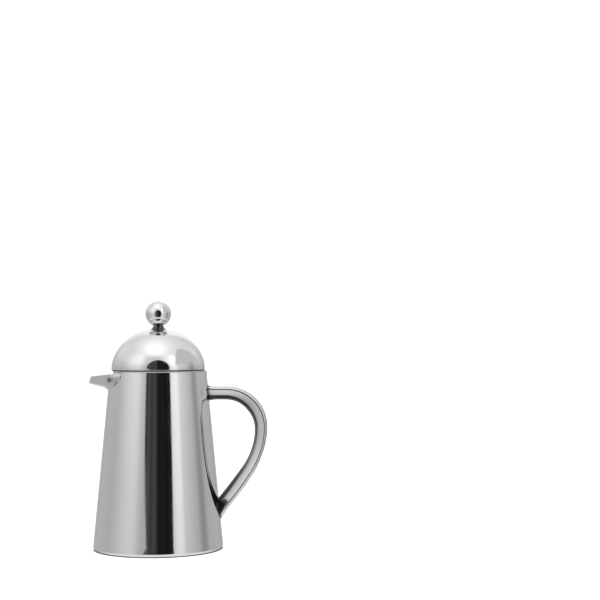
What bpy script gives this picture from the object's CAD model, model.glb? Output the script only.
"""Looks of a stainless steel french press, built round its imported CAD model.

Every length in the classes is in millimetres and is turned to metres when a mesh is made.
+Z is up, +X points to the handle and -X to the spout.
"""
from __future__ import annotations

import logging
import math
from dataclasses import dataclass, field
from enum import Enum
from typing import Any, Callable

import bmesh
import bpy
import numpy as np
from mathutils import Matrix, Vector

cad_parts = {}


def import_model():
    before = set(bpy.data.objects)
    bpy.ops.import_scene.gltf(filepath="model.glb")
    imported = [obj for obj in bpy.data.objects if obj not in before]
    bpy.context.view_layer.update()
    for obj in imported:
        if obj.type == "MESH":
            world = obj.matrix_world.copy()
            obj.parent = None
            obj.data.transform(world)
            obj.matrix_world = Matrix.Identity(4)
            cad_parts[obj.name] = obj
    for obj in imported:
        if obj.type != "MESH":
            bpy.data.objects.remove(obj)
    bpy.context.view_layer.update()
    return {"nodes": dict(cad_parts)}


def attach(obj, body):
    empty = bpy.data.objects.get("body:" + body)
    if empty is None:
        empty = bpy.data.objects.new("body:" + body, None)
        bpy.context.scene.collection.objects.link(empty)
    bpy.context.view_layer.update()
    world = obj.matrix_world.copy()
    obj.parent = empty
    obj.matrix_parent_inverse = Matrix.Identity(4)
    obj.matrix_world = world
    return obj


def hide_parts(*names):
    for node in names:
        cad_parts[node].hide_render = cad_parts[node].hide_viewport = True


LOG = logging.getLogger("french_press")
MM = 0.001
WELD = 2e-6
FULL_TURN = 2 * math.pi
DULL = "dull"
Array = np.ndarray


# ---------------------------------------------------------------- numbers

def smooth(value: Array | float, low: float, high: float) -> Array:
    """Eased step: 0 below low, 1 above high, and t*t*(3 - 2t) between them.

    Args:
        value: where the step is read.
        low: where it starts to rise.
        high: where it is full.

    Returns:
        The step, between 0 and 1.
    """
    t = np.clip((np.asarray(value, float) - low) / (high - low), 0.0, 1.0)
    return t * t * (3 - 2 * t)


def mix(a: Array | float, b: Array | float, t: Array | float) -> Array:
    """A share t of the way from a to b."""
    return np.asarray(a) + (np.asarray(b) - a) * t


def straight(radius: float) -> Callable[[Array], Array]:
    """A wall of one radius at every height."""
    return lambda z: np.full_like(z, radius)


def normals(line: Array) -> Array:
    """Unit normals of a flat line: its tangent turned a quarter to the left.

    Args:
        line: points of shape (count, 2).

    Returns:
        One normal for each point.
    """
    tangent = np.gradient(line, axis=0)
    tangent /= np.linalg.norm(tangent, axis=1)[:, None]
    return np.stack([-tangent[:, 1], tangent[:, 0]], 1)


def arc(centre: tuple[float, float], radius: float, start: float, end: float, count: int) -> Array:
    """Points of a circular arc: centre + radius * (cos, sin), angles in degrees.

    Args:
        centre: middle of the arc.
        radius: its radius.
        start: first angle.
        end: last angle.
        count: how many points.

    Returns:
        An array of shape (count, 2).
    """
    turn = np.radians(np.linspace(start, end, count))
    return np.stack([centre[0] + radius * np.cos(turn), centre[1] + radius * np.sin(turn)], 1)


def flowing(points: list[tuple[float, float]], steps: int) -> Array:
    """Smooth line through hand-set points.

    Each run is the Catmull-Rom cubic of its two ends and their neighbours.

    Args:
        points: the points that the line passes.
        steps: how many samples each run gets.

    Returns:
        An array of shape (runs * steps + 1, 2).
    """
    p = np.asarray(points, float)
    p = np.vstack([2 * p[0] - p[1], p, 2 * p[-1] - p[-2]])
    t = np.linspace(0, 1, steps, endpoint=False)[None, :, None]
    a, b, c, d = (p[i:len(p) - 3 + i, None, :] for i in range(4))
    runs = 0.5 * (2 * b + (c - a) * t + (2 * a - 5 * b + 4 * c - d) * t ** 2
                  + (3 * b - a - 3 * c + d) * t ** 3)
    return np.vstack([runs.reshape(-1, 2), p[-2]])


def lathe(profile: Array, count: int = 192) -> Array:
    """Turns a profile about Z: a point (r, z) becomes (r cos u, r sin u, z).

    Args:
        profile: points (radius, height) in order.
        count: columns round the axis.

    Returns:
        A grid of shape (points, count, 3).
    """
    u = np.linspace(0, FULL_TURN, count, endpoint=False)[None, :]
    r, z = profile[:, :1], profile[:, 1:2]
    return np.stack([r * np.cos(u), r * np.sin(u), np.broadcast_to(z, (len(profile), count))], 2)


# ---------------------------------------------------------------- meshes

@dataclass
class Patchwork:
    """One mesh made of grids of points whose touching edges are welded."""

    name: str
    points: list[Array] = field(default_factory=list)
    faces: list[Array] = field(default_factory=list)

    def add(self, grid: Array, rows_closed: bool = False, columns_closed: bool = False) -> None:
        """Adds a grid of points, with a quad between each four neighbours.

        Args:
            grid: points of shape (rows, columns, 3), in millimetres.
            rows_closed: joins the last row to the first.
            columns_closed: joins the last column to the first.
        """
        rows, columns = grid.shape[:2]
        start = sum(len(p) for p in self.points)
        index = start + np.arange(rows * columns).reshape(rows, columns)
        if rows_closed:
            index = np.vstack([index, index[:1]])
        if columns_closed:
            index = np.hstack([index, index[:, :1]])
        quads = np.stack([index[:-1, :-1], index[:-1, 1:], index[1:, 1:], index[1:, :-1]], 2)
        self.points.append(grid.reshape(-1, 3) * MM)
        self.faces.append(quads.reshape(-1, 4))

    def build(self, sharp: float = 40.0) -> bpy.types.Object:
        """Makes the object: weld, faces outwards, smooth shading with sharp edges kept.

        Args:
            sharp: angle in degrees past which an edge stays sharp.

        Returns:
            The object, linked to the scene, at the origin.
        """
        mesh = bpy.data.meshes.new(self.name)
        faces = np.vstack(self.faces)
        mesh.from_pydata(np.vstack(self.points).tolist(), [], faces.tolist())
        work = bmesh.new()
        work.from_mesh(mesh)
        bmesh.ops.remove_doubles(work, verts=work.verts, dist=WELD)
        bmesh.ops.dissolve_degenerate(work, edges=work.edges, dist=WELD)
        bmesh.ops.recalc_face_normals(work, faces=work.faces)
        work.to_mesh(mesh)
        work.free()
        mesh.shade_smooth()
        mesh.set_sharp_from_angle(angle=math.radians(sharp))
        piece = bpy.data.objects.new(self.name, mesh)
        bpy.context.scene.collection.objects.link(piece)
        return piece


def vertex_places(piece: bpy.types.Object) -> Array:
    """Reads where a piece's vertices are.

    Args:
        piece: an object at the origin.

    Returns:
        Their places in millimetres, of shape (count, 3).
    """
    flat = np.empty(3 * len(piece.data.vertices))
    piece.data.vertices.foreach_get("co", flat)
    return flat.reshape(-1, 3) / MM


def write_dull(piece: bpy.types.Object, share: Array) -> None:
    """Stores how dull each vertex is, from 0 for buffed to 1 for heat-tinted or unbuffed."""
    layer = piece.data.attributes.new(DULL, "FLOAT", "POINT")
    layer.data.foreach_set("value", np.clip(share, 0, 1).astype(np.float32))


# ---------------------------------------------------------------- shader maths

class Num:
    """A number in a node tree; arithmetic on it adds Math nodes."""

    def __init__(self, kit: "NodeKit", socket: bpy.types.NodeSocket) -> None:
        self.kit = kit
        self.socket = socket

    def __add__(self, other: "Num | float") -> "Num":
        """Sum."""
        return self.kit.math("ADD", self, other)

    def __radd__(self, other: float) -> "Num":
        """Sum, reflected."""
        return self.kit.math("ADD", other, self)

    def __sub__(self, other: "Num | float") -> "Num":
        """Difference."""
        return self.kit.math("SUBTRACT", self, other)

    def __rsub__(self, other: float) -> "Num":
        """Difference, reflected."""
        return self.kit.math("SUBTRACT", other, self)

    def __mul__(self, other: "Num | float") -> "Num":
        """Product."""
        return self.kit.math("MULTIPLY", self, other)

    def __rmul__(self, other: float) -> "Num":
        """Product, reflected."""
        return self.kit.math("MULTIPLY", other, self)

    def __truediv__(self, other: "Num | float") -> "Num":
        """Quotient."""
        return self.kit.math("DIVIDE", self, other)

    def __rtruediv__(self, other: float) -> "Num":
        """Quotient, reflected."""
        return self.kit.math("DIVIDE", other, self)

    def __pow__(self, other: "Num | float") -> "Num":
        """Power."""
        return self.kit.math("POWER", self, other)

    def __abs__(self) -> "Num":
        """Size without its sign."""
        return self.kit.math("ABSOLUTE", self)

    def step(self, low: float, high: float) -> "Num":
        """Eased step of the number, which may also run downwards.

        Args:
            low: where it is 0.
            high: where it is 1.

        Returns:
            The step, between 0 and 1.
        """
        node = self.kit.node("ShaderNodeMapRange", {"interpolation_type": "SMOOTHSTEP"},
                             {"Value": self, "From Min": low, "From Max": high,
                              "To Min": 0.0, "To Max": 1.0})
        return Num(self.kit, node.outputs["Result"])


class NodeKit:
    """Builds nodes in one tree."""

    def __init__(self, tree: bpy.types.NodeTree) -> None:
        """Starts with an empty tree."""
        self.tree = tree
        tree.nodes.clear()

    def node(self, kind: str, settings: dict[str, Any] | None = None,
             inputs: dict[str | int, Any] | None = None) -> bpy.types.Node:
        """Adds a node.

        Args:
            kind: the node's type.
            settings: its own settings, set first; "stops" fills a colour ramp.
            inputs: values or links of its sockets, by name or place.

        Returns:
            The node.
        """
        node = self.tree.nodes.new(kind)
        for key, value in (settings or {}).items():
            if key == "stops":
                self.fill_ramp(node.color_ramp, value)
            else:
                setattr(node, key, value)
        for key, value in (inputs or {}).items():
            socket = node.inputs[key]
            source = value.socket if isinstance(value, Num) else value
            if isinstance(source, bpy.types.NodeSocket):
                self.tree.links.new(source, socket)
            else:
                socket.default_value = source
        return node

    @staticmethod
    def fill_ramp(ramp: bpy.types.ColorRamp, stops: list[tuple[float, float]]) -> None:
        """Gives a ramp grey stops.

        Args:
            ramp: the ramp to fill.
            stops: a (place, level) pair for each stop, in order.
        """
        while len(ramp.elements) > 1:
            ramp.elements.remove(ramp.elements[-1])
        for i, (place, level) in enumerate(stops):
            element = ramp.elements[0] if i == 0 else ramp.elements.new(place)
            element.position = place
            element.color = (level, level, level, 1)

    def math(self, operation: str, a: Num | float, b: Num | float = 0.0,
             clamp: bool = False) -> Num:
        """Adds a Math node.

        Args:
            operation: what it works out.
            a: its first number.
            b: its second number, if the operation takes one.
            clamp: holds the result between 0 and 1.

        Returns:
            The result.
        """
        node = self.node("ShaderNodeMath", {"operation": operation, "use_clamp": clamp},
                         {0: a, 1: b})
        return Num(self, node.outputs[0])

    def clamp(self, value: Num) -> Num:
        """The value held between 0 and 1."""
        return self.math("ADD", value, 0.0, clamp=True)

    def place(self) -> bpy.types.NodeSocket:
        """The point's place on the object, in metres."""
        return self.node("ShaderNodeTexCoord").outputs["Object"]

    def split(self, vector: bpy.types.NodeSocket) -> tuple[Num, Num, Num]:
        """The three numbers of a vector."""
        node = self.node("ShaderNodeSeparateXYZ", inputs={0: vector})
        return Num(self, node.outputs[0]), Num(self, node.outputs[1]), Num(self, node.outputs[2])

    def join(self, x: Num | float, y: Num | float, z: Num | float) -> bpy.types.NodeSocket:
        """A vector of three numbers."""
        return self.node("ShaderNodeCombineXYZ", inputs={0: x, 1: y, 2: z}).outputs[0]

    def scaled(self, vector: bpy.types.NodeSocket, scale: tuple[float, float, float],
               turn: tuple[float, float, float]) -> bpy.types.NodeSocket:
        """Turns a vector with one Mapping node, then scales it with another.

        Args:
            vector: the vector to change.
            scale: factor along each axis.
            turn: angle about each axis, in radians.

        Returns:
            The turned and scaled vector.
        """
        turned = self.node("ShaderNodeMapping", {"vector_type": "POINT"},
                           {"Vector": vector, "Rotation": turn})
        return self.node("ShaderNodeMapping", {"vector_type": "POINT"},
                         {"Vector": turned.outputs[0], "Scale": scale}).outputs[0]

    def noise(self, vector: bpy.types.NodeSocket, scale: float, detail: float = 2.0) -> Num:
        """Adds smooth noise.

        Args:
            vector: where the noise is read.
            scale: how many of its bumps fit in a metre.
            detail: how many finer layers are added.

        Returns:
            A number between 0 and 1.
        """
        node = self.node("ShaderNodeTexNoise", inputs={"Vector": vector, "Scale": scale,
                                                       "Detail": detail, "Roughness": 0.55})
        return Num(self, node.outputs[0])

    def blend(self, share: Num | float, low: tuple[float, float, float],
              high: tuple[float, float, float]) -> bpy.types.NodeSocket:
        """A colour that goes from low to high as the share goes from 0 to 1."""
        return self.node("ShaderNodeMix", {"data_type": "RGBA"}, {
            0: share, 6: (*low, 1.0), 7: (*high, 1.0)}).outputs[2]

    def finish(self, inputs: dict[str, Any]) -> None:
        """Ends the tree in a Principled shader with these inputs."""
        shader = self.node("ShaderNodeBsdfPrincipled", inputs=inputs)
        self.node("ShaderNodeOutputMaterial", inputs={"Surface": shader.outputs[0]})


# ---------------------------------------------------------------- finishes

def new_material(name: str) -> tuple[bpy.types.Material, NodeKit]:
    """Starts a material.

    Args:
        name: the material's name.
    """
    material = bpy.data.materials.new(name)
    material.use_nodes = True
    return material, NodeKit(material.node_tree)


class Grain(Enum):
    """Which way a metal's tool marks run."""

    TURNED = "round the axis"
    STRAIGHT = "along X"


@dataclass(frozen=True)
class Steel:
    """Stainless steel: tool marks, hairlines and a faint haze on its gloss.

    Scales of noise are in bumps per metre. Bump and relief are a least value and what the
    grain's full depth adds.
    """

    name: str
    colour: tuple[float, float, float] = (0.755, 0.757, 0.76)
    gloss: float = 0.05
    haze: float = 0.05
    grain: Grain = Grain.TURNED
    grain_pitch: float = 0.25
    grain_depth: float = 0.0
    hairlines: float = 0.04
    stain: float = 0.03
    dull_tone: float = 1.0
    dull_gloss: float = 0.08
    along_x: float = 25.0
    round_axis: float = 1.5
    grain_gloss: float = 0.3
    grain_tone: float = 0.25
    cloud_scale: float = 28.0
    cloud_edges: tuple[float, float] = (0.35, 0.7)
    worn_scale: float = 90.0
    worn_edges: tuple[float, float] = (0.45, 0.7)
    hair_scale: tuple[float, float, float] = (60, 420, 90)
    hair_turn: tuple[float, float, float] = (0.5, 0.9, 0.4)
    hair_fineness: float = 60.0
    hair_depth: float = 0.15
    marks_depth: float = 0.2
    bump: tuple[float, float] = (0.03, 0.5)
    relief: tuple[float, float] = (0.01, 0.04)

    def marks(self, kit: NodeKit, place: bpy.types.NodeSocket) -> Num:
        """Height of the tool marks: noise that is fine across the grain and long along it.

        Args:
            kit: the tree's kit.
            place: the point's place on the object.

        Returns:
            A number between 0 and 1.
        """
        fine = 1 / (self.grain_pitch * MM)
        x, y, z = kit.split(place)
        if self.grain is Grain.STRAIGHT:
            along = kit.join(x * self.along_x, y * fine, z * fine)
        else:
            radius = (x * x + y * y) ** 0.5
            turn = kit.math("ARCTAN2", y, x)
            along = kit.join(radius * fine, z * fine, turn * self.round_axis)
        return kit.noise(along, 1.0, 3.0)

    def scratches(self, kit: NodeKit, place: bpy.types.NodeSocket) -> Num:
        """Hairlines: where stretched noise is close to its middle value, in worn patches only.

        Args:
            kit: the tree's kit.
            place: the point's place on the object.

        Returns:
            A number between 0 and 1.
        """
        hairs = kit.noise(kit.scaled(place, self.hair_scale, self.hair_turn), 1.0, 6.0)
        hair = kit.clamp(1 - abs(hairs - 0.5) * self.hair_fineness)
        return hair * kit.noise(place, self.worn_scale).step(*self.worn_edges)

    def build(self) -> bpy.types.Material:
        """Makes the material, with roughness, bump and a little tone from its marks.

        Returns:
            The material.
        """
        material, kit = new_material(self.name)
        place = kit.place()
        marks = self.marks(kit, place)
        cloud = kit.noise(place, self.cloud_scale, 4.0)
        scratch = self.scratches(kit, place)
        rough = (self.gloss + self.haze * cloud.step(*self.cloud_edges)
                 + self.hairlines * scratch + self.grain_depth * self.grain_gloss * marks)
        tone = kit.clamp(1 - self.stain * cloud - self.grain_depth * self.grain_tone * marks)
        if self.dull_tone < 1:
            share = kit.node("ShaderNodeAttribute", {"attribute_name": DULL}).outputs["Fac"]
            dull = Num(kit, share)
            tone = tone * (1 - (1 - self.dull_tone) * dull)
            rough = rough + self.dull_gloss * dull
        colour = kit.node("ShaderNodeMix", {"data_type": "RGBA", "blend_type": "MULTIPLY"}, {
            0: 1.0, 6: (*self.colour, 1.0), 7: kit.join(tone, tone, tone)}).outputs[2]
        bump = kit.node("ShaderNodeBump", inputs={
            "Strength": self.bump[0] + self.bump[1] * self.grain_depth,
            "Distance": (self.relief[0] + self.relief[1] * self.grain_depth) * MM,
            "Height": marks * (self.marks_depth + self.grain_depth) - scratch * self.hair_depth})
        kit.finish({"Base Color": colour, "Metallic": 1.0, "Roughness": kit.clamp(rough),
                    "Normal": bump.outputs[0]})
        return material


@dataclass(frozen=True)
class WovenSteel:
    """Fine woven wire: two sets of round threads that pass over and under each other."""

    name: str
    pitch: float = 0.45
    colour: tuple[float, float, float] = (0.62, 0.61, 0.59)
    gap_tone: float = 0.12
    crossing: float = 0.25
    wire_edges: tuple[float, float] = (0.35, 0.8)
    soil: float = 0.15
    soil_scale: float = 60.0
    gap_roughness: float = 0.45
    wire_polish: float = 0.12
    bump: float = 0.6
    relief: float = 0.1

    def build(self) -> bpy.types.Material:
        """Makes the material: threads are the higher of two sine waves, gaps are dark.

        Returns:
            The material.
        """
        material, kit = new_material(self.name)
        x, y, z = kit.split(kit.place())
        turn = FULL_TURN / (self.pitch * MM)
        warp = abs(kit.math("SINE", (x + z) * (turn / 2)))
        weft = abs(kit.math("SINE", (y + z) * (turn / 2)))
        over = kit.math("SINE", x * (turn / 4)) * kit.math("SINE", y * (turn / 4))
        thread = kit.math("MAXIMUM", warp + over * self.crossing, weft - over * self.crossing)
        solid = thread.step(*self.wire_edges)
        clean = 1 - self.soil + self.soil * kit.noise(kit.place(), self.soil_scale, 3.0)
        gap = tuple(self.gap_tone * c for c in self.colour)
        bump = kit.node("ShaderNodeBump", inputs={
            "Strength": self.bump, "Distance": self.relief * MM, "Height": thread})
        kit.finish({"Base Color": kit.blend(solid * clean, gap, self.colour), "Metallic": 1.0,
                    "Roughness": self.gap_roughness - self.wire_polish * solid,
                    "Normal": bump.outputs[0]})
        return material


@dataclass(frozen=True)
class MouldedPlastic:
    """Black moulded plastic: spark-eroded grain, a slight sheen and rubbed spots."""

    name: str
    colour: tuple[float, float, float] = (0.016, 0.016, 0.017)
    rubbed_tone: float = 2.2
    grain_scale: float = 2600.0
    rub_scale: float = 70.0
    rub_edges: tuple[float, float] = (0.4, 0.75)
    rub_light: float = 0.35
    grain_light: float = 0.15
    roughness: float = 0.42
    rub_polish: float = 0.1
    grain_roughness: float = 0.08
    bump: float = 0.35
    relief: float = 0.04

    def build(self) -> bpy.types.Material:
        """Makes the material, with fine grain in its bump and roughness.

        Returns:
            The material.
        """
        material, kit = new_material(self.name)
        place = kit.place()
        grain = kit.noise(place, self.grain_scale, 3.0)
        rub = kit.noise(place, self.rub_scale, 4.0).step(*self.rub_edges)
        rubbed = tuple(self.rubbed_tone * c for c in self.colour)
        light = self.rub_light * rub + self.grain_light * grain
        rough = self.roughness - self.rub_polish * rub + self.grain_roughness * grain
        bump = kit.node("ShaderNodeBump", inputs={
            "Strength": self.bump, "Distance": self.relief * MM, "Height": grain})
        kit.finish({"Base Color": kit.blend(light, self.colour, rubbed), "Roughness": rough,
                    "Normal": bump.outputs[0]})
        return material


@dataclass(frozen=True)
class Finishes:
    """The finishes of the press. Handle, spout and collar are variants of the mirror slot."""

    mirror: Steel = Steel("mirror_steel", grain_pitch=0.3)
    handle: Steel = Steel("handle_steel", (0.62, 0.623, 0.627), gloss=0.07, grain_pitch=0.3,
                          dull_tone=0.28)
    spout: Steel = Steel("spout_steel", grain_pitch=0.3, dull_tone=0.12)
    collar: Steel = Steel("collar_steel", (0.14, 0.141, 0.143), gloss=0.06, grain_pitch=0.2)
    vessel: Steel = Steel("vessel_steel", (0.69, 0.69, 0.69), gloss=0.2, haze=0.08,
                          grain_pitch=0.22, grain_depth=0.5, hairlines=0.1)
    base: Steel = Steel("base_steel", (0.54, 0.54, 0.54), gloss=0.3, haze=0.1,
                        grain=Grain.STRAIGHT, grain_pitch=0.2, grain_depth=0.7)
    satin: Steel = Steel("satin_steel", (0.65, 0.65, 0.65), gloss=0.24, haze=0.1,
                         grain_pitch=0.18, grain_depth=0.5, hairlines=0.12)
    rod: Steel = Steel("rod_steel", (0.73, 0.73, 0.73), gloss=0.12, haze=0.06,
                       grain_pitch=0.15, grain_depth=0.25)
    wire: Steel = Steel("wire_steel", (0.69, 0.69, 0.69), gloss=0.22, haze=0.08,
                        grain_depth=0.1)
    mesh: WovenSteel = WovenSteel("mesh_steel")
    liner: MouldedPlastic = MouldedPlastic("liner_plastic")
    bush: MouldedPlastic = MouldedPlastic("bush_plastic", (0.03, 0.03, 0.032))

    def materials(self) -> dict[str, bpy.types.Material]:
        """Builds every finish once.

        Returns:
            The materials by the name of their finish.
        """
        finishes = (self.mirror, self.handle, self.spout, self.collar, self.vessel, self.base,
                    self.satin, self.rod, self.wire, self.mesh, self.liner, self.bush)
        return {finish.name: finish.build() for finish in finishes}


@dataclass
class Workshop:
    """What every sub-assembly needs: the CAD nodes and the built materials."""

    nodes: dict[str, bpy.types.Object]
    materials: dict[str, bpy.types.Material]

    def fit(self, piece: bpy.types.Object, body: str, slot: str, *replaced: str,
            finish: str = "") -> None:
        """Dresses a new piece and ties it to the frame.

        Args:
            piece: the new object.
            body: CAD body that it rides on.
            slot: material slot that it takes its finish from.
            replaced: CAD nodes that it stands for.
            finish: the piece's own variant of the slot's finish, if it has one.
        """
        piece.data.materials.append(self.materials[finish or slot])
        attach(piece, body)
        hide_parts(*replaced)
        LOG.info("%s rides on %s, %d faces", piece.name, body, len(piece.data.polygons))

    def dress(self, slot: str, *names: str) -> None:
        """Gives CAD nodes that stay visible their material.

        Args:
            slot: the nodes' material slot.
            names: the nodes.
        """
        for name in names:
            data = self.nodes[name].data
            data.materials.clear()
            data.materials.append(self.materials[slot])
            LOG.info("%s keeps its CAD shape, in %s", name, slot)


# ---------------------------------------------------------------- jug

@dataclass(frozen=True)
class HeatMark:
    """Mark that a weld's heat leaves: a bell shape beside the wall, in distance and height."""

    beyond: float
    run: float
    level: float
    height: float
    strength: float = 1.0

    def share(self, beyond: Array, z: Array) -> Array:
        """How strong the mark is at points of the sheet.

        The formula is strength * exp(-((d - beyond) / run)^2 - ((z - level) / height)^2).

        Args:
            beyond: each point's distance d beyond the wall.
            z: each point's height.

        Returns:
            A share for each point.
        """
        across = (beyond - self.beyond) / self.run
        return self.strength * np.exp(-across ** 2 - ((z - self.level) / self.height) ** 2)


@dataclass
class Spout:
    """Open beak of sheet: a U section that narrows to the lip and flares into the wall."""

    bore: float = 41.85
    base_radius: float = 59.9
    foot: float = 0.6
    slope: float = 15.2 / 161.5
    root_x: float = -29.85
    root_half: float = 32.4
    root_under: float = 144.03
    root_top: float = 160.91
    root_round: float = 8.5
    reach: float = 62.0
    lean: float = 2.5
    lip_top: float = 158.1
    lip_under: float = 151.4
    lip_half: float = 4.5
    keel_half: float = 3.4
    lip_round: float = 2.9
    flat_share: float = 0.3
    round_share: float = 0.25
    spread: float = 41.0
    sheet: float = 1.0
    rim_level: float = 162.9
    rim_start: float = -2.6
    rim_end: float = 1.6
    root_gap: float = 0.05
    flare: float = 2.0
    flare_run: float = 5.0
    flare_back: float = 0.4
    flare_fade: float = 2.4
    flare_start: float = -2.6
    flare_full: float = -1.0
    flare_high: float = 0.55
    flare_loss: float = 0.75
    rows: int = 44
    columns: int = 81
    row_growth: float = 1.3
    edge_round: float = 0.3
    edge_angle: float = 50.0
    heat_marks: tuple[HeatMark, ...] = (
        HeatMark(2.1, 1.0, 155.2, 2.5), HeatMark(0.15, 0.4, 151.5, 3.2, 0.7))

    def wall_radius(self, z: Array) -> Array:
        """Radius of the outer cone: base radius - slope * height above the foot."""
        return self.base_radius - self.slope * (z - self.foot)

    def corner(self, t: Array) -> Array:
        """Angle round the U's quarter round: 0 along the flat, a right angle up the side."""
        return np.clip((np.abs(t) - self.flat_share) / self.round_share, 0, 1) * (math.pi / 2)

    def climb(self, t: Array) -> Array:
        """Share of the way up the U's side, which begins where the quarter round ends."""
        start = self.flat_share + self.round_share
        return np.clip((np.abs(t) - start) / (1 - start), 0, 1)

    def around(self, t: Array, halves: tuple[float, float], levels: tuple[float, float],
               radius: float) -> tuple[Array, Array]:
        """One U: flat bottom, quarter round, and a side that may lean outwards.

        Args:
            t: place round the U, from -1 to 1.
            halves: half width at the foot of the side and at its top.
            levels: height of the bottom and of the top edge.
            radius: of the quarter round.

        Returns:
            y and z.
        """
        low, high = halves
        under, top = levels
        turn, climb = self.corner(t), self.climb(t)
        flat = np.clip(np.abs(t) / self.flat_share, 0, 1)
        y = flat * (low - radius) + radius * np.sin(turn) + (high - low) * climb
        z = under + radius * (1 - np.cos(turn)) + (top - under - radius) * climb
        return y * np.sign(t), z

    def section(self, q: Array, t: Array, inset: float) -> tuple[Array, Array, Array]:
        """Straight lines from the root's U to the lip's U.

        A point at q is the root's point plus q times the way to the lip's point.

        Args:
            q: share of the way from the root section to the lip.
            t: place round the U.
            inset: how far the surface lies inside the outer one.

        Returns:
            x, y and z.
        """
        side = inset / math.cos(math.radians(self.spread))
        root = self.root_half - side
        y0, z0 = self.around(t, (root, root), (self.root_under + inset, self.root_top),
                             self.root_round - inset)
        y1, z1 = self.around(t, (self.keel_half - side, self.lip_half - side),
                             (self.lip_under + inset, self.lip_top), self.lip_round - inset)
        x1 = -self.reach - self.lean * (self.lip_top - z1) / (self.lip_top - self.lip_under)
        return mix(self.root_x, x1, q), mix(y0, y1, q), mix(z0, z1, q)

    def meets(self, radius: Callable[[Array], Array], t: Array, inset: float) -> Array:
        """Share q at which the lines pass a wall, by halving the range forty times.

        Args:
            radius: the wall's radius at a height.
            t: place round the U.
            inset: as in section.

        Returns:
            One q for each t.
        """
        low, high = np.zeros_like(t), np.ones_like(t)
        for _ in range(40):
            middle = (low + high) / 2
            x, y, z = self.section(middle, t, inset)
            outside = np.hypot(x, y) > radius(z)
            high = np.where(outside, middle, high)
            low = np.where(outside, low, middle)
        return (low + high) / 2

    def notch(self, radius: Callable[[Array], Array], top: float, count: int,
              inset: float) -> tuple[Array, Array]:
        """Where the beak passes a wall, from one side of the rim to the other.

        Args:
            radius: the wall's radius at a height.
            top: level of the rim.
            count: how many points.
            inset: as in section.

        Returns:
            Angle from -X, in radians, and height of each point.
        """
        t = np.linspace(-1, 1, count)
        x, y, z = self.section(self.meets(radius, t, inset), t, inset)
        return np.arctan2(y, -x), z + self.climb(t) * (top - z[-1])

    def surface(self, inset: float) -> Array:
        """One side of the sheet, from the bore to the lip.

        Outside, the U swells where it leaves the wall by flare * (1 - d / run) ^ fade along its
        own normal, with d the distance beyond a line just inside the wall's surface. The top
        edge is level with the rim at the bore and eases down through the wall to the sloping
        line.

        Args:
            inset: 0 for the outer side, the sheet's thickness for the inner one.

        Returns:
            A grid of points.
        """
        t = np.linspace(-1, 1, self.columns)[None, :]
        start = self.meets(straight(self.bore + self.root_gap), t, inset)
        along = np.linspace(0, 1, self.rows)[:, None] ** self.row_growth
        q = start + (1 - start) * along
        x, y, z = self.section(q, np.broadcast_to(t, q.shape), inset)
        beyond = np.hypot(x, y) - self.wall_radius(z)
        climb = self.climb(t)
        lift = self.rim_level - mix(self.root_top, self.lip_top, q)
        z = z + climb * lift * (1 - smooth(beyond, self.rim_start, self.rim_end))
        if inset == 0:
            near = np.clip(1 - (beyond + self.flare_back) / self.flare_run, 0, 1)
            swell = self.flare * near ** self.flare_fade
            swell = swell * smooth(beyond, self.flare_start, self.flare_full)
            swell = swell * (1 - smooth(climb, self.flare_high, 1.0) * self.flare_loss)
            y = y + swell * np.sin(self.corner(t)) * np.sign(t)
            z = z - swell * np.cos(self.corner(t))
        return np.stack([x, y, z], 2)

    def build(self) -> bpy.types.Object:
        """Makes the closed sheet: both sides, joined along their edges, which are eased.

        Returns:
            The beak.
        """
        outer, inner = self.surface(0.0), self.surface(self.sheet)
        work = Patchwork("spout_beak")
        work.add(outer)
        work.add(inner)
        for strip in ((outer[0], inner[0]), (outer[-1], inner[-1]),
                      (outer[:, 0], inner[:, 0]), (outer[:, -1], inner[:, -1])):
            work.add(np.stack(strip))
        piece = work.build()
        bevel = piece.modifiers.new("eased_edges", "BEVEL")
        bevel.width = self.edge_round * MM
        bevel.segments = 3
        bevel.limit_method = "ANGLE"
        bevel.angle_limit = math.radians(self.edge_angle)
        bevel.harden_normals = False
        self.tint(piece)
        return piece

    def tint(self, piece: bpy.types.Object) -> None:
        """Writes the weld's heat marks: a spot on each side and a line along the seam.

        Args:
            piece: the finished beak.
        """
        place = vertex_places(piece)
        z = place[:, 2]
        beyond = np.hypot(place[:, 0], place[:, 1]) - self.wall_radius(z)
        write_dull(piece, sum(mark.share(beyond, z) for mark in self.heat_marks))


@dataclass
class Wall:
    """A round wall's rings, over columns whose angles may differ between its foot and its top."""

    foot: Array
    head: Array
    tops: Array
    rim: Array
    turn_start: float = 0.72
    rings: list[Array] = field(default_factory=list)

    def ring(self, radius: Array | float, z: Array | float, angle: Array) -> None:
        """Adds a ring: (r cos a, r sin a, z) at each column.

        Args:
            radius: one radius, or one for each column.
            z: one height, or one for each column.
            angle: angle of each column.
        """
        x, y = radius * np.cos(angle), radius * np.sin(angle)
        self.rings.append(np.stack(np.broadcast_arrays(x, y, z), 1))

    def turned(self, profile: Array) -> None:
        """Adds a ring at the foot's angles for each (radius, height) of a profile."""
        for radius, z in profile:
            self.ring(radius, z, self.foot)

    def rise(self, radius: Callable[[Array], Array], base: float, tops: Array,
             shares: Array) -> None:
        """Adds the wall itself, whose angles go from foot to head over the last of its height.

        Args:
            radius: the wall's radius at a height.
            base: height of the wall's foot.
            tops: height of its top at each column.
            shares: how far up each ring lies, from 0 to 1.
        """
        for share in shares:
            z = mix(base, tops, share)
            turn = smooth(share, self.turn_start, 1.0)
            self.ring(radius(z), z, mix(self.foot, self.head, turn))


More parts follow.
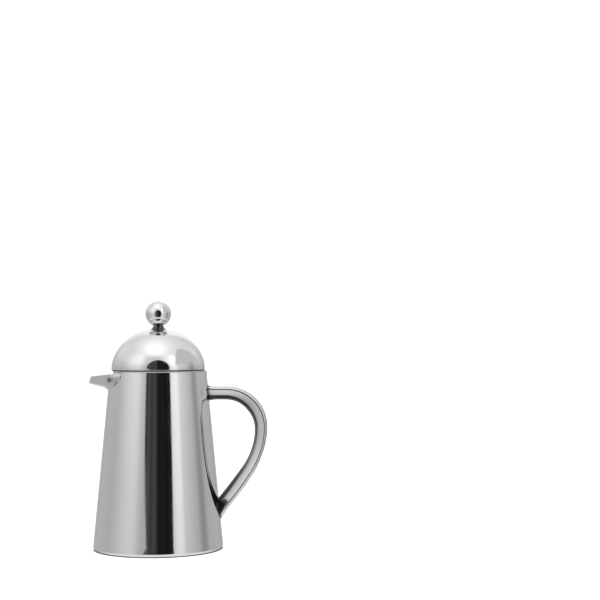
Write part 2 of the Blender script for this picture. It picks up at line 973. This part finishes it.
@dataclass
class Jug:
    """Outer cone, inner vessel with its rolled rim, beak spout and bent handle."""

    spout: Spout = field(default_factory=Spout)
    columns: int = 224
    notch_columns: int = 64
    rim_fade: tuple[float, float] = (-0.02, 0.09)
    even_share: float = 0.7
    shell_rows: tuple[int, float, int] = (15, 0.72, 25)
    vessel_rows: tuple[int, float, int] = (8, 0.73, 22)
    floor_rings: int = 14
    shell_sheet: float = 0.8
    plate_radius: float = 53.9
    foot_round: float = 3.0
    foot_gap: float = 0.3
    rim_under: float = 162.1
    vessel_sheet: float = 0.7
    floor: float = 8.0
    floor_round: float = 4.0
    rim_level: float = 163.0
    rolled_edge: tuple[tuple[float, float], ...] = (
        (0.0, -1.8), (0.0, -0.55), (0.12, -0.2), (0.42, -0.03), (0.8, 0.0), (1.6, 0.0),
        (2.5, 0.0), (2.85, -0.06), (3.07, -0.22), (3.15, -0.45), (3.07, -0.68),
        (2.85, -0.84), (2.5, -0.9), (1.5, -0.9), (1.0, -1.05), (0.75, -1.4), (0.7, -1.8))

    def wall(self, radius: Callable[[Array], Array], top: float) -> Wall:
        """Columns of a wall that is notched for the beak, halfway through the beak's sheet.

        They are even round the foot. Their tops follow the notch and are even on the rest
        of the rim.

        Args:
            radius: the wall's radius at a height.
            top: level of the wall's top.

        Returns:
            The wall without its rings: angles at the foot and at the top, height of the top,
            and 1 on the rim falling to 0 in the notch.
        """
        turn, height = self.spout.notch(radius, top, self.notch_columns, self.spout.sheet / 2)
        half = float(turn[-1])
        count = self.columns - self.notch_columns
        rest = np.linspace(half, FULL_TURN - half, count + 2)[1:-1]
        foot = np.concatenate([np.linspace(-half, half, self.notch_columns), rest])
        head = np.concatenate([turn, rest])
        tops = np.concatenate([height, np.full(count, top)])
        away = np.minimum(rest - half, FULL_TURN - half - rest)
        rim = np.concatenate([np.zeros(self.notch_columns), smooth(away, *self.rim_fade)])
        return Wall(foot + math.pi, head + math.pi, tops, rim)

    def shares(self, even: int, start: float, close: int) -> Array:
        """How far up a wall its rings lie: even rows, then closer rows from start to the top."""
        return np.concatenate([np.linspace(0, self.even_share, even), np.linspace(start, 1, close)])

    def shell(self) -> bpy.types.Object:
        """Makes the outer cone, with a rounded foot that turns in under the base.

        A meridian is foot ledge, quarter round, cone, then the same inside. The inside is
        the outside moved in by sheet * sqrt(1 + slope^2).

        Returns:
            The shell.
        """
        beak = self.spout
        wall = self.wall(beak.wall_radius, self.rim_under)
        lean = math.hypot(1, beak.slope)
        level = beak.foot + self.foot_round
        centre = (float(beak.wall_radius(np.array(level))) - self.foot_round * lean, level)
        up = math.degrees(math.atan(beak.slope))
        base = level + self.foot_gap
        shares = self.shares(*self.shell_rows)
        shift = self.shell_sheet * lean
        wall.ring(self.plate_radius, beak.foot, wall.foot)
        wall.turned(arc(centre, self.foot_round, -90, up, 12)[:-1])
        wall.rise(beak.wall_radius, base, wall.tops, shares)
        wall.rise(lambda z: beak.wall_radius(z) - shift, base, wall.tops, shares[::-1])
        wall.turned(arc(centre, self.foot_round - self.shell_sheet, up, -90, 8)[1:])
        wall.ring(self.plate_radius, beak.foot + self.shell_sheet, wall.foot)
        work = Patchwork("jug_shell")
        work.add(np.stack(wall.rings), True, True)
        return work.build()

    def vessel(self) -> bpy.types.Object:
        """Makes the inner vessel: floor, round, bore and rolled rim, and the same outside.

        On the rim the section is the rolled edge; in the notch it shrinks to the wall's top.

        Returns:
            The vessel.
        """
        bore = self.spout.bore
        outside = bore + self.vessel_sheet
        wall = self.wall(straight(bore), self.rim_level)
        shares = self.shares(*self.vessel_rows)
        base = self.floor + self.floor_round
        centre = (bore - self.floor_round, base)
        tops = wall.tops + self.rolled_edge[0][1] * wall.rim
        radii = np.linspace(0, centre[0], self.floor_rings)
        wall.turned(np.stack([radii, np.full_like(radii, self.floor)], 1))
        wall.turned(arc(centre, self.floor_round, -90, 0, 9)[1:-1])
        wall.rise(straight(bore), base, tops, shares)
        for i, (across, up) in enumerate(self.rolled_edge):
            small = 0.0 if i < len(self.rolled_edge) / 2 else self.vessel_sheet
            wall.ring(bore + mix(small, across, wall.rim), wall.tops + up * wall.rim, wall.head)
        wall.rise(straight(outside), base, tops, shares[::-1])
        wall.turned(arc(centre, self.floor_round + self.vessel_sheet, 0, -90, 9)[1:])
        wall.ring(0.0, self.floor - self.vessel_sheet, wall.foot)
        work = Patchwork("jug_vessel")
        work.add(np.stack(wall.rings), False, True)
        return work.build()

    def build(self, shop: Workshop) -> None:
        """Makes and fits the jug's pieces.

        Args:
            shop: the CAD nodes and the materials.
        """
        shop.fit(self.shell(), "jug", "mirror_steel", "outer_shell")
        shop.fit(self.vessel(), "jug", "vessel_steel", "inner_vessel")
        shop.fit(self.spout.build(), "jug", "mirror_steel", "spout", finish="spout_steel")
        shop.fit(Handle().build(self.spout.wall_radius), "jug", "mirror_steel", "handle",
                 finish="handle_steel")
        shop.dress("base_steel", "base_plate")


@dataclass
class Handle:
    """Bent bar with a soft ridge near its outer edge, from a level arm to an oblique foot."""

    arm: float = 142.4
    start_x: float = 43.7
    back: float = 94.9
    corner: float = 32.0
    bend: float = 66.0
    foot: tuple[float, float] = (57.8, 39.0)
    overrun: float = 11.0
    half_width: float = 4.8
    outline: tuple[tuple[float, float], ...] = (
        (1.0, 0.0), (0.985, 0.3), (0.9, 0.62), (0.76, 0.87), (0.61, 0.98), (0.49, 0.985),
        (0.37, 0.93), (0.06, 0.79), (-0.27, 0.66), (-0.52, 0.595), (-0.76, 0.56),
        (-0.92, 0.47), (-0.985, 0.26), (-1.0, 0.0))
    outline_steps: int = 5
    rows: int = 180
    leg_swell: tuple[float, float, float] = (0.6, 128.0, 18.0)
    back_hollow: tuple[float, float, float] = (0.25, 94.0, 12.0)
    stations: tuple[tuple[float, float], ...] = (
        (0, 8.0), (4, 6.9), (9, 6.15), (25, 6.3), (48, 6.65), (72, 5.85), (95, 5.6),
        (125, 6.45), (150, 6.5), (165, 7.2))
    station_samples: int = 400
    station_easing: int = 17
    dull_start: float = 0.5
    dull_full: float = 0.9
    leg_start: float = 100.0
    leg_full: float = 150.0
    leg_widening: float = 0.42
    face_share: float = 0.12
    corner_start: float = 0.26
    corner_full: float = 0.5
    weld_full: float = 0.4
    weld_reach: float = 2.6

    def drift(self, at: Array) -> Array:
        """How far the line stands out past its arcs: a swell on the leg, a hollow on the back.

        Each is height * exp(-((at - place) / run)^2), with at the distance along the line.

        Args:
            at: distance along the line.

        Returns:
            The distance outwards.
        """
        (swell, leg, leg_run), (hollow, back, back_run) = self.leg_swell, self.back_hollow
        return (swell * np.exp(-((at - leg) / leg_run) ** 2)
                - hollow * np.exp(-((at - back) / back_run) ** 2))

    def line(self) -> tuple[Array, Array]:
        """Centre line: level arm, corner arc, back arc, then a straight leg tangent to it.

        The leg's tangent point is where the line from the foot touches the back's circle.

        Returns:
            Its points, as (x, z), and their distances along it.
        """
        level = self.arm - self.corner
        corner = (self.back - self.corner, level)
        middle = (self.back - self.bend, level)
        away = math.dist(self.foot, middle)
        turn = (math.atan2(self.foot[1] - level, self.foot[0] - middle[0])
                + math.acos(self.bend / away))
        touch = np.array([middle[0] + self.bend * math.cos(turn),
                          middle[1] + self.bend * math.sin(turn)])
        leg = np.array(self.foot) - touch
        end = np.array(self.foot) + leg / np.linalg.norm(leg) * self.overrun
        share = np.linspace(0, 1, 60)[:, None]
        dense = np.vstack([
            mix(np.array([[self.start_x, self.arm]]), np.array([[corner[0], self.arm]]), share),
            arc(corner, self.corner, 90, 0, 160)[1:],
            arc(middle, self.bend, 0, math.degrees(turn), 160)[1:],
            mix(touch[None], end[None], share)[1:]])
        length = np.concatenate([[0], np.cumsum(np.linalg.norm(np.diff(dense, axis=0), axis=1))])
        at = np.linspace(0, length[-1], self.rows)
        way = np.stack([np.interp(at, length, dense[:, i]) for i in range(2)], 1)
        return way + normals(way) * self.drift(at)[:, None], at

    def half_depth(self, at: Array) -> Array:
        """Half depth along the line: straight runs between stations, eased by a moving mean.

        Args:
            at: distance along the line.

        Returns:
            The half depth at each distance.
        """
        places, halves = np.array(self.stations).T
        fine = np.linspace(0, at[-1], self.station_samples)
        kernel = np.hanning(self.station_easing)
        padded = np.pad(np.interp(fine, places, halves), self.station_easing // 2, mode="edge")
        return np.interp(at, fine, np.convolve(padded, kernel / kernel.sum(), "valid"))

    def section(self) -> Array:
        """The whole outline, once round: the hand-set half and its mirror image, smoothed.

        Returns:
            Points (p, q), with p outward and q sideways.
        """
        mirrored = [(p, -q) for p, q in reversed(self.outline[1:-1])]
        loop = list(self.outline) + mirrored
        steps = self.outline_steps
        line = flowing(loop[-2:] + loop + loop[:3], steps)
        return line[2 * steps:][:steps * len(loop)]

    def build(self, wall: Callable[[Array], Array]) -> bpy.types.Object:
        """Sweeps the outline along the line.

        A point is centre + a p outward + b q Y, with (p, q) on the smooth outline, a from the
        stations along the bar and b the bar's half width.

        Args:
            wall: radius of the jug's wall at a height.

        Returns:
            The bar.
        """
        way, at = self.line()
        normal = normals(way)
        half = self.half_depth(at)
        section = self.section()
        ring = half[:, None] * section[None, :, 0]
        grid = np.stack([way[:, :1] + ring * normal[:, :1],
                         np.broadcast_to(section[:, 1] * self.half_width, ring.shape),
                         way[:, 1:] + ring * normal[:, 1:]], 2)
        ends = [np.repeat(grid[i].mean(0)[None, None], grid.shape[1], 1) for i in (0, -1)]
        work = Patchwork("handle_bar")
        work.add(np.concatenate([ends[0], grid, ends[1]]), columns_closed=True)
        piece = work.build(50)
        self.mark_dull(piece, way, normal, half, at, wall)
        return piece

    def mark_dull(self, piece: bpy.types.Object, way: Array, normal: Array, half: Array,
                  at: Array, wall: Callable[[Array], Array]) -> None:
        """Writes where the bar is dull: its inner side, and a band beside each weld.

        The share is the larger of two eased steps: one of the distance inward from the
        nearest point of the centre line over the half depth there, and one of the distance
        from the jug's wall. The dull side grows wider down the leg, and is dullest at its
        corners.

        Args:
            piece: the finished bar.
            way: centre line, as (x, z).
            normal: outward direction at each of its points.
            half: half depth at each of its points.
            at: distance along the line at each of its points.
            wall: radius of the jug's wall at a height.
        """
        place = vertex_places(piece)
        across = place[:, [0, 2]]
        near = np.argmin(np.linalg.norm(across[:, None] - way[None], axis=2), axis=1)
        outward = np.sum((across - way[near]) * normal[near], axis=1) / half[near]
        beyond = np.hypot(place[:, 0], place[:, 1]) - wall(place[:, 2])
        widening = self.leg_widening * smooth(at[near], self.leg_start, self.leg_full)
        corner = smooth(np.abs(place[:, 1]) / self.half_width, self.corner_start,
                        self.corner_full)
        inner = smooth(-outward + widening, self.dull_start, self.dull_full)
        inner = inner * mix(self.face_share, 1.0, corner)
        weld = 1 - smooth(beyond, self.weld_full, self.weld_reach)
        write_dull(piece, np.maximum(inner, weld))


# ---------------------------------------------------------------- lid

@dataclass
class Lid:
    """Domed shell with its turned collar, over the liner, the skirt and the guide."""

    base: float = 164.1
    radius: float = 43.1
    height: float = 37.2
    sheet: float = 1.0
    hole: float = 5.1
    seat: float = 200.6
    crown: float = 204.55
    bore: float = 3.56
    thread: float = 4.95
    thread_foot: float = 192.65
    edge_round: float = 0.45
    outer_start: float = 0.4
    inner_start: float = 0.25
    lip_width: float = 0.2
    trumpet: tuple[tuple[float, float], ...] = (
        (8.0, 0.05), (7.8, 0.25), (6.9, 0.85), (6.05, 1.55), (5.45, 2.3), (5.2, 2.75))
    bead: tuple[float, float] = (5.0, 3.0)
    bead_round: float = 0.24
    neck: tuple[tuple[float, float], ...] = (
        (4.78, 3.28), (4.68, 3.5), (4.68, 3.75), (4.72, 3.9))
    crown_radius: float = 4.65
    shoulder: float = 7.9
    thread_edge: float = 0.3

    def dome_side(self, inset: float, first: float) -> Array:
        """One side of the dome's sheet: (a cos v, b sin v) from its foot to the hole.

        Args:
            inset: how far the side lies inside the outer one.
            first: height of its lowest point above the dome's base.

        Returns:
            Points (radius, height).
        """
        a, b = self.radius - inset, self.height - inset
        v = np.linspace(math.asin(first / b), math.acos(self.hole / a), 72)
        return np.stack([a * np.cos(v), self.base + b * np.sin(v)], 1)

    def dome(self) -> bpy.types.Object:
        """Makes the dome: half an ellipsoid of sheet with an eased edge.

        Returns:
            The dome.
        """
        outer = self.dome_side(0.0, self.outer_start)
        inner = self.dome_side(self.sheet, self.inner_start)
        edge = arc((self.radius - self.edge_round, self.base + self.edge_round),
                   self.edge_round, -5, -90, 6)
        lip = np.array([[self.radius - self.sheet + self.lip_width, self.base]])
        work = Patchwork("lid_dome_shell")
        work.add(lathe(np.vstack([outer[::-1], edge, lip, inner]), 256), True, True)
        return work.build()

    def collar(self) -> bpy.types.Object:
        """Makes the turned collar: a trumpet foot, a fine bead, a short neck and a spigot.

        Heights of the foot, the bead and the neck are above the seat.

        Returns:
            The collar.
        """
        seat, edge = self.seat, self.thread_edge
        foot = flowing([(r, seat + z) for r, z in self.trumpet], 6)
        bead = arc((self.bead[0], seat + self.bead[1]), self.bead_round, -60, 75, 8)
        neck = flowing([(r, seat + z) for r, z in self.neck], 4)
        spigot = np.array([
            (self.crown_radius, self.crown), (self.bore, self.crown),
            (self.bore, self.thread_foot), (self.thread - edge, self.thread_foot),
            (self.thread, self.thread_foot + edge), (self.thread, seat), (self.shoulder, seat)])
        work = Patchwork("lid_collar")
        work.add(lathe(np.vstack([foot, bead, neck, spigot]), 128), True, True)
        return work.build()

    def build(self, shop: Workshop) -> None:
        """Makes and fits the lid's pieces.

        Args:
            shop: the CAD nodes and the materials.
        """
        shop.fit(self.dome(), "lid", "mirror_steel", "lid_dome")
        shop.fit(self.collar(), "guide", "mirror_steel", "knob_collar", finish="collar_steel")
        shop.dress("liner_plastic", "lid_liner")
        shop.dress("bush_plastic", "guide_bush")
        shop.dress("satin_steel", "lid_strainer", "guide_washer", "guide_nut")


# ---------------------------------------------------------------- plunger and filter

@dataclass
class Plunger:
    """Hollow ball on a polished rod with a threaded stud."""

    centre: float = 215.55
    ball: float = 11.8
    sheet: float = 1.2
    hole: float = 4.2
    hole_edge: float = 0.3
    flat: float = 204.75
    rod: float = 2.5
    rod_foot: float = 17.0
    stud: float = 2.0
    stud_foot: float = 11.5
    stud_ease: float = 0.4
    stud_point: float = 0.5
    undercut: float = 0.2
    undercut_height: float = 0.3
    pitch: float = 0.7
    thread_depth: float = 0.22
    thread_columns: int = 40
    thread_rows: int = 96
    rod_edge: float = 0.2
    rod_end: float = 0.3
    rod_rows: tuple[float, ...] = (60.0, 110.0, 160.0)

    def knob(self) -> bpy.types.Object:
        """Makes the ball of sheet with a flat foot: circles of both radii, joined at the hole.

        Returns:
            The ball.
        """
        inside = self.ball - self.sheet
        foot = math.degrees(math.asin((self.flat - self.centre) / self.ball))
        hole = -math.degrees(math.acos(self.hole / inside))
        outer = arc((0, self.centre), self.ball, foot, 90, 80)
        inner = arc((0, self.centre), inside, 90, hole, 48)
        outer[-1, 0] = 0.0
        inner[0, 0] = 0.0
        lip = np.array([(self.hole, self.flat), (self.hole + self.hole_edge, self.flat)])
        work = Patchwork("knob_ball")
        work.add(lathe(np.vstack([lip, outer, inner, lip[:1]]), 192), columns_closed=True)
        return work.build()

    def thread(self) -> Array:
        """The stud's surface: its radius is that of a single-start thread.

        The formula is r - depth * |2 frac(z / pitch - u) - 1|, with u the share of a turn,
        and the thread fades in above the stud's foot.

        Returns:
            A grid of points.
        """
        u = np.linspace(0, 1, self.thread_columns, endpoint=False)[None, :]
        z = np.linspace(self.stud_foot + self.stud_ease, self.rod_foot - self.stud_ease,
                        self.thread_rows)[:, None]
        phase = (z / self.pitch - u) % 1.0
        fade = smooth(z, self.stud_foot, self.stud_foot + 2 * self.stud_ease)
        radius = self.stud - self.thread_depth * np.abs(2 * phase - 1) * fade
        return np.stack([radius * np.cos(u * FULL_TURN), radius * np.sin(u * FULL_TURN),
                         np.broadcast_to(z, radius.shape)], 2)

    def shaft(self) -> bpy.types.Object:
        """Makes the rod, with eased ends, over its threaded stud.

        Returns:
            The shaft.
        """
        neck = self.stud - self.undercut
        edge, end = self.rod_edge, self.rod_end
        foot = np.array([(0, self.stud_foot), (self.stud - self.stud_point, self.stud_foot)])
        rod = np.array([
            (neck, self.rod_foot - self.undercut_height), (neck, self.rod_foot),
            (self.rod - edge, self.rod_foot), (self.rod, self.rod_foot + edge),
            *((self.rod, z) for z in self.rod_rows),
            (self.rod, self.centre - end), (self.rod - end, self.centre), (0, self.centre)])
        work = Patchwork("plunger_shaft")
        work.add(np.concatenate([lathe(foot, self.thread_columns), self.thread(),
                                 lathe(rod, self.thread_columns)]), columns_closed=True)
        return work.build(50)

    def build(self, shop: Workshop) -> None:
        """Makes and fits the plunger's pieces.

        Args:
            shop: the CAD nodes and the materials.
        """
        shop.fit(self.knob(), "plunger", "mirror_steel", "knob")
        shop.fit(self.shaft(), "plunger", "rod_steel", "plunger_rod")
        shop.dress("satin_steel", "knob_insert")


@dataclass
class Filter:
    """Garter spring round the pressing plate, with the mesh and the stiff plate below."""

    circle: float = 39.55
    coil: float = 1.5
    wire: float = 0.24
    level: float = 17.75
    turns: int = 232
    steps: int = 14
    wire_sides: int = 6

    def spring(self) -> bpy.types.Object:
        """Makes the close coil bent to a ring: a small circle carried round a large one.

        The wire's centre is at (R + c cos(n u), level + c sin(n u)) in the meridian plane at
        angle u, with n turns in all, and the wire is a thin many-sided tube round it.

        Returns:
            The spring.
        """
        count = self.turns * self.steps
        u = np.linspace(0, FULL_TURN, count, endpoint=False)
        spin = self.turns * u
        small = self.coil - self.wire
        reach = self.circle + small * np.cos(spin)
        centre = np.stack([reach * np.cos(u), reach * np.sin(u),
                           self.level + small * np.sin(spin)], 1)
        tangent = np.roll(centre, -1, 0) - np.roll(centre, 1, 0)
        tangent /= np.linalg.norm(tangent, axis=1)[:, None]
        outward = np.stack([np.cos(spin) * np.cos(u), np.cos(spin) * np.sin(u), np.sin(spin)], 1)
        side = np.cross(tangent, outward)
        turn = np.linspace(0, FULL_TURN, self.wire_sides, endpoint=False)[None, :, None]
        tube = centre[:, None] + self.wire * (np.cos(turn) * outward[:, None]
                                              + np.sin(turn) * side[:, None])
        work = Patchwork("filter_coil")
        work.add(tube, True, True)
        return work.build(80)

    def build(self, shop: Workshop) -> None:
        """Makes and fits the filter's pieces.

        Args:
            shop: the CAD nodes and the materials.
        """
        shop.fit(self.spring(), "filter", "wire_steel", "filter_spring")
        shop.dress("mesh_steel", "filter_mesh")
        shop.dress("satin_steel", "spiral_plate", "cross_plate", "rod_end_nut")
        shop.dress("rod_steel", "rod_shoulder")


# ---------------------------------------------------------------- studio

@dataclass(frozen=True)
class Heading:
    """Where a ray of the surround goes: its direction, and its angles in degrees."""

    front: Num
    right: Num
    up: Num
    angle: Num
    lift: Num


@dataclass(frozen=True)
class Doorway:
    """Dark round-topped opening in front, whose sides lean in near eye level.

    Lengths are in degrees, left and right of the front and above the horizon.
    """

    left: float = 28.6
    right: float = 27.4
    left_lean: float = 8.0
    right_lean: float = 1.5
    lean_level: float = 1.0
    lean_run: float = 3.2
    arch_start: float = 6.0
    arch_run: float = 26.5
    sill_start: float = -8.0
    sill_run: float = 26.0
    outer_edge: float = 1.045
    inner_edge: float = 0.965

    def share(self, kit: NodeKit, way: Heading) -> Num:
        """How far a ray is inside the opening.

        The edge is where (angle / reach)^2 + arch^2 = 1, with reach the half width of that
        side and arch the height past the straight part over the arch's own height.

        Args:
            kit: the tree's kit.
            way: the ray.

        Returns:
            1 inside, 0 outside, and an eased step between.
        """
        near = kit.math("EXPONENT", ((way.lift - self.lean_level) / self.lean_run) ** 2.0 * -1)
        is_left = way.angle.step(0.01, -0.01)
        reach = (is_left * (self.left - self.left_lean * near)
                 + (1 - is_left) * (self.right - self.right_lean * near))
        above = (way.lift - self.arch_start) / self.arch_run
        below = (self.sill_start - way.lift) / self.sill_run
        arch = kit.math("MAXIMUM", kit.math("MAXIMUM", above, below), 0.0)
        span = ((way.angle / reach) ** 2.0 + arch * arch) ** 0.5
        return span.step(self.outer_edge, self.inner_edge)


@dataclass(frozen=True)
class SideScreen:
    """Plain oval screen on the right, in degrees, in front of walls and ceiling."""

    middle: float = 80.0
    half_width: float = 40.0
    half_height: float = 56.0
    edge: float = 0.12
    tone: float = 0.66
    lift_start: float = 6.0
    lift_full: float = 24.0

    def share(self, kit: NodeKit, way: Heading) -> Num:
        """How much of a ray meets the screen.

        The formula is an eased step of 1 - (angle off the middle / half width)^2
        - (lift / half height)^2.

        Args:
            kit: the tree's kit.
            way: the ray.

        Returns:
            1 on the screen, 0 beside it.
        """
        inside = (1 - ((way.angle - self.middle) / self.half_width) ** 2.0
                  - (way.lift / self.half_height) ** 2.0)
        return kit.math("MAXIMUM", inside, 0.0).step(0.0, self.edge)


@dataclass(frozen=True)
class Ceiling:
    """White ceiling with a soft lamp a little ahead of overhead."""

    start: float = 36.0
    full: float = 54.0
    tone: float = 0.86
    lamp_gain: float = 0.6
    lamp_ahead: float = 0.2
    lamp_aside: float = -0.06
    lamp_depth: float = 0.34
    lamp_width: float = 0.26

    def level(self, kit: NodeKit, way: Heading) -> Num:
        """Level of the ceiling along a ray: its tone plus a bell-shaped lamp.

        The lamp is exp(-(ahead^2 + aside^2)), on the ray's direction spread flat by
        dividing by 1 + up.

        Args:
            kit: the tree's kit.
            way: the ray.

        Returns:
            The level.
        """
        ahead = (way.front / (1 + way.up) - self.lamp_ahead) / self.lamp_depth
        aside = (way.right / (1 + way.up) - self.lamp_aside) / self.lamp_width
        lamp = kit.math("EXPONENT", (ahead * ahead + aside * aside) * -1)
        return self.tone + self.lamp_gain * lamp


@dataclass
class Studio:
    """Pale floor, a soft white surround with a dark opening in front, and the camera.

    Stops are (angle, level) pairs, by degrees to the right of the camera's side.
    """

    azimuth: float = 8.0
    distance: float = 1.275
    eye: float = 0.192
    lens: float = 82.3
    sensor: float = 36.0
    clip_end: float = 100.0
    turn_right: float = 5.9
    tilt_up: float = 1.62
    roll: float = -0.22
    floor_radius: float = 6000.0
    floor_drop: float = 0.05
    shade_radius: float = 0.058
    shade_end: float = 0.061
    shade_tone: float = 0.25
    floor_tone: float = 0.86
    floor_glow: float = 0.7
    peak: float = 1.6
    doorway: Doorway = Doorway()
    screen: SideScreen = SideScreen()
    ceiling: Ceiling = Ceiling()
    wall_foot: float = 0.9
    wall_gain: float = 0.24
    wall_full: float = 12.0
    upper_gain: float = 0.32
    upper_start: float = 8.0
    upper_full: float = 28.0
    low_start: float = -24.0
    low_full: float = -42.0
    low_level: float = 0.95
    backdrop: float = 1.1
    wall_stops: tuple[tuple[float, float], ...] = (
        (-180, 0.80), (-170, 0.74), (-152, 0.56), (-130, 0.62), (-100, 0.58), (-85, 0.66),
        (-70, 0.78), (-56, 0.84), (-46, 0.82), (-38, 0.66), (-30, 0.55), (0, 0.5),
        (27, 0.80), (32, 0.98), (40, 1.07), (46, 0.99), (49, 0.79), (60, 0.70), (70, 0.62),
        (78, 0.55), (84, 0.42), (91, 0.34), (97, 0.45), (104, 0.57), (130, 0.60), (152, 0.50),
        (166, 0.78), (180, 0.80))
    doorway_stops: tuple[tuple[float, float], ...] = (
        (-32, 0.05), (-25, 0.045), (-20, 0.085), (-16, 0.05), (-12, 0.05), (-10, 0.075),
        (-4, 0.05), (-1.5, 0.012), (12, 0.014), (16, 0.007), (20, 0.014), (32, 0.012))

    def camera(self) -> None:
        """Camera at the object's front, turned so that the object stands left of centre."""
        side = math.radians(self.azimuth)
        data = bpy.data.cameras.new("camera")
        data.lens = self.lens
        data.sensor_width = self.sensor
        data.clip_end = self.clip_end
        camera = bpy.data.objects.new("camera", data)
        where = Matrix.Translation((self.distance * math.sin(side),
                                    -self.distance * math.cos(side), self.eye))
        heading = Matrix.Rotation(side - math.radians(self.turn_right), 4, "Z")
        tilt = Matrix.Rotation(math.radians(90 + self.tilt_up), 4, "X")
        roll = Matrix.Rotation(math.radians(self.roll), 4, "Z")
        camera.matrix_world = where @ heading @ tilt @ roll
        bpy.context.scene.collection.objects.link(camera)
        bpy.context.scene.camera = camera

    def floor(self) -> None:
        """Round white floor, dark under the foot and glowing faintly beyond it.

        The glow makes it a little brighter than its light, so that it meets the surround.
        """
        radii = np.array([0, 120, 400, 1500, self.floor_radius], float)
        work = Patchwork("floor")
        grid = lathe(np.stack([radii, np.full_like(radii, -self.floor_drop)], 1), 96)
        work.add(grid[:, ::-1], columns_closed=True)
        floor = work.build()
        material, kit = new_material("floor_paper")
        grain = kit.noise(kit.place(), 300.0, 4.0)
        x, y, _ = kit.split(kit.place())
        open_floor = ((x * x + y * y) ** 0.5).step(self.shade_radius, self.shade_end)
        tone = self.shade_tone + (self.floor_tone - self.shade_tone) * open_floor + 0.02 * grain
        kit.finish({"Base Color": kit.join(tone, tone, tone), "Roughness": 0.9,
                    "Specular IOR Level": 0.1, "Emission Strength": self.floor_glow,
                    "Emission Color": kit.join(open_floor, open_floor, open_floor)})
        floor.data.materials.append(material)
        floor.visible_glossy = False

    def around(self, kit: NodeKit, way: Heading, stops: tuple[tuple[float, float], ...]) -> Num:
        """Level of the surround by angle.

        Args:
            kit: the tree's kit.
            way: the ray.
            stops: (angle, level) pairs.

        Returns:
            The level at the ray's angle.
        """
        ramp = kit.node("ShaderNodeValToRGB",
                        {"stops": [(0.5 + a / 360, v / self.peak) for a, v in stops]},
                        {0: way.angle / 360 + 0.5})
        return kit.split(ramp.outputs[0])[0] * self.peak

    def heading(self, kit: NodeKit) -> Heading:
        """Reads a ray's direction, against the camera's side.

        Args:
            kit: the tree's kit.

        Returns:
            The ray, with its angle to the right and its lift above the horizon.
        """
        x, y, z = kit.split(kit.node("ShaderNodeTexCoord").outputs["Generated"])
        side = math.radians(self.azimuth)
        front = x * math.sin(side) - y * math.cos(side)
        right = x * math.cos(side) + y * math.sin(side)
        angle = kit.math("ARCTAN2", right, front) * (180 / math.pi)
        lift = kit.math("ARCSINE", z) * (180 / math.pi)
        return Heading(front, right, z, angle, lift)

    def level(self, kit: NodeKit, way: Heading) -> Num:
        """Level of the surround along a ray, laid down in order.

        The walls have soft bands by angle and brighten with height. The screen stands
        before them, the ceiling closes them above, the doorway opens in them in front, and
        the floor's light fills what lies below.

        Args:
            kit: the tree's kit.
            way: the ray.

        Returns:
            The level.
        """
        screen = self.screen.share(kit, way)
        rise = way.lift.step(self.upper_start, self.upper_full) * self.upper_gain * (1 - screen)
        gain = self.wall_foot + self.wall_gain * way.lift.step(0.0, self.wall_full)
        level = self.around(kit, way, self.wall_stops) * (gain + rise)
        even = way.lift.step(self.screen.lift_start, self.screen.lift_full) * screen
        level = level * (1 - even) + self.screen.tone * even
        above = way.lift.step(self.ceiling.start, self.ceiling.full) * (1 - screen)
        level = level * (1 - above) + self.ceiling.level(kit, way) * above
        opening = self.doorway.share(kit, way)
        level = level * (1 - opening) + self.around(kit, way, self.doorway_stops) * opening
        low = way.lift.step(self.low_start, self.low_full)
        return level * (1 - low) + self.low_level * low

    def surround(self) -> None:
        """Lights the press from all sides, by direction, behind a plain white backdrop."""
        world = bpy.data.worlds.new("studio")
        bpy.context.scene.world = world
        world.use_nodes = True
        kit = NodeKit(world.node_tree)
        level = self.level(kit, self.heading(kit))
        light = kit.node("ShaderNodeBackground", inputs={
            "Color": kit.join(level, level, level), "Strength": 1.0})
        plain = kit.node("ShaderNodeBackground", inputs={
            "Color": (1, 1, 1, 1), "Strength": self.backdrop})
        seen = kit.node("ShaderNodeLightPath").outputs["Is Camera Ray"]
        both = kit.node("ShaderNodeMixShader", inputs={
            0: seen, 1: light.outputs[0], 2: plain.outputs[0]})
        kit.node("ShaderNodeOutputWorld", inputs={"Surface": both.outputs[0]})

    def build(self) -> None:
        """Sets the studio up."""
        bpy.context.scene.view_settings.view_transform = "Standard"
        self.camera()
        self.floor()
        self.surround()


# ---------------------------------------------------------------- the whole press


def main() -> None:
    """Builds the studio and the press in order, and notes both boxes."""
    logging.basicConfig(level=logging.INFO, format="%(name)s: %(message)s")
    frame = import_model()
    Studio().build()
    shop = Workshop(frame["nodes"], Finishes().materials())
    Jug().build(shop)
    Lid().build(shop)
    Plunger().build(shop)
    Filter().build(shop)


if __name__ == "__main__":
    main()
